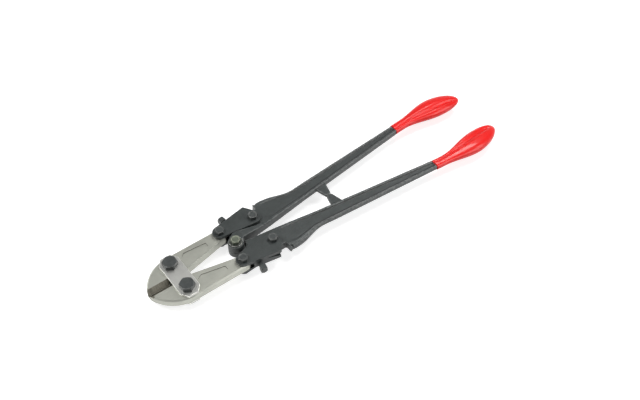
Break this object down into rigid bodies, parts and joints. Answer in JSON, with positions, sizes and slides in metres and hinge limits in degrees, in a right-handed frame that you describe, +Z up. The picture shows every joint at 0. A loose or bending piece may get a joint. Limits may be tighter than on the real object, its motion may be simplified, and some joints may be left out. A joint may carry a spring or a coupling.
{
  "type": "bolt cutters",
  "caption": "Hand bolt cutters with two centre-cut jaws, jaw plates, adjustable link plates and long forged handles with coated leaf-shaped grips, closed.",
  "frame": {"origin": "on the middle line of the closed tool, half way along it, level with the lower ends of the jaw bolts that it rests on", "axes": "+X from the jaw tips towards the grips, +Y towards the left handle, +Z up along the bolts, towards their heads"},
  "size_m": [0.61, 0.1368, 0.0393],
  "materials": {
    "jaw_steel": "satin nickel plate over forged steel, ground bevels",
    "plate_steel": "satin plated steel",
    "blackened_steel": "blackened forging, satin, worn along the edges",
    "dark_fastener": "black oxide",
    "zinc_steel": "olive zinc plate",
    "grip_coating": "glossy red dipped vinyl"
  },
  "bodies": {
    "jaw_plates": {"jaw_plate_upper": "plate_steel", "jaw_plate_lower": "plate_steel", "jaw_bolt_left": "dark_fastener", "jaw_bolt_right": "dark_fastener", "jaw_nut_left": "dark_fastener", "jaw_nut_right": "dark_fastener"},
    "jaw_left": {"jaw_left": "jaw_steel"},
    "jaw_right": {"jaw_right": "jaw_steel"},
    "arm_left": {"link_upper_left": "blackened_steel", "link_lower_left": "blackened_steel", "tail_bolt_left": "dark_fastener", "tail_nut_left": "dark_fastener", "handle_bolt_left": "dark_fastener", "handle_nut_left": "dark_fastener", "centre_bolt": "zinc_steel", "centre_washer_upper": "zinc_steel", "centre_washer_lower": "zinc_steel", "centre_nut": "dark_fastener", "handle_left": "blackened_steel", "grip_left": "grip_coating"},
    "arm_right": {"link_upper_right": "blackened_steel", "link_lower_right": "blackened_steel", "tail_bolt_right": "dark_fastener", "tail_nut_right": "dark_fastener", "handle_bolt_right": "dark_fastener", "handle_nut_right": "dark_fastener", "handle_right": "blackened_steel", "grip_right": "grip_coating"},
    "adjuster_left": {"adjusting_screw_left": "dark_fastener"},
    "adjuster_right": {"adjusting_screw_right": "dark_fastener"}
  },
  "joints": [
    {"name": "jaw_left_hinge", "type": "hinge", "parent": "jaw_plates", "child": "jaw_left", "pos_m": [-0.256, 0.023, 0.0195], "axis": [0, 0, 1], "range_deg": [-7.9, 0]},
    {"name": "jaw_right_hinge", "type": "hinge", "parent": "jaw_plates", "child": "jaw_right", "pos_m": [-0.256, -0.023, 0.0195], "axis": [0, 0, 1], "range_deg": [0, 7.9]},
    {"name": "handle_left_open", "type": "hinge", "parent": "jaw_left", "child": "arm_left", "pos_m": [-0.1698, 0.0306, 0.0195], "axis": [0, 0, 1], "range_deg": [0, 50]},
    {"name": "handle_right_open", "type": "hinge", "parent": "jaw_right", "child": "arm_right", "pos_m": [-0.1698, -0.0306, 0.0195], "axis": [0, 0, 1], "range_deg": [-50, 0]},
    {"name": "adjusting_screw_left_turn", "type": "hinge", "parent": "arm_left", "child": "adjuster_left", "pos_m": [-0.15032, 0.04449, 0.0195], "axis": [-0.1644, 0.9864, 0], "range_deg": [0, 720]},
    {"name": "adjusting_screw_right_turn", "type": "hinge", "parent": "arm_right", "child": "adjuster_right", "pos_m": [-0.15032, -0.04449, 0.0195], "axis": [-0.1644, -0.9864, 0], "range_deg": [-720, 0]}
  ],
  "couplings": [
    {"joint": "jaw_left_hinge", "follows": "handle_left_open", "ratio": -0.1575},
    {"joint": "jaw_right_hinge", "follows": "handle_left_open", "ratio": 0.1575},
    {"joint": "handle_right_open", "follows": "handle_left_open", "ratio": -1}
  ]
}
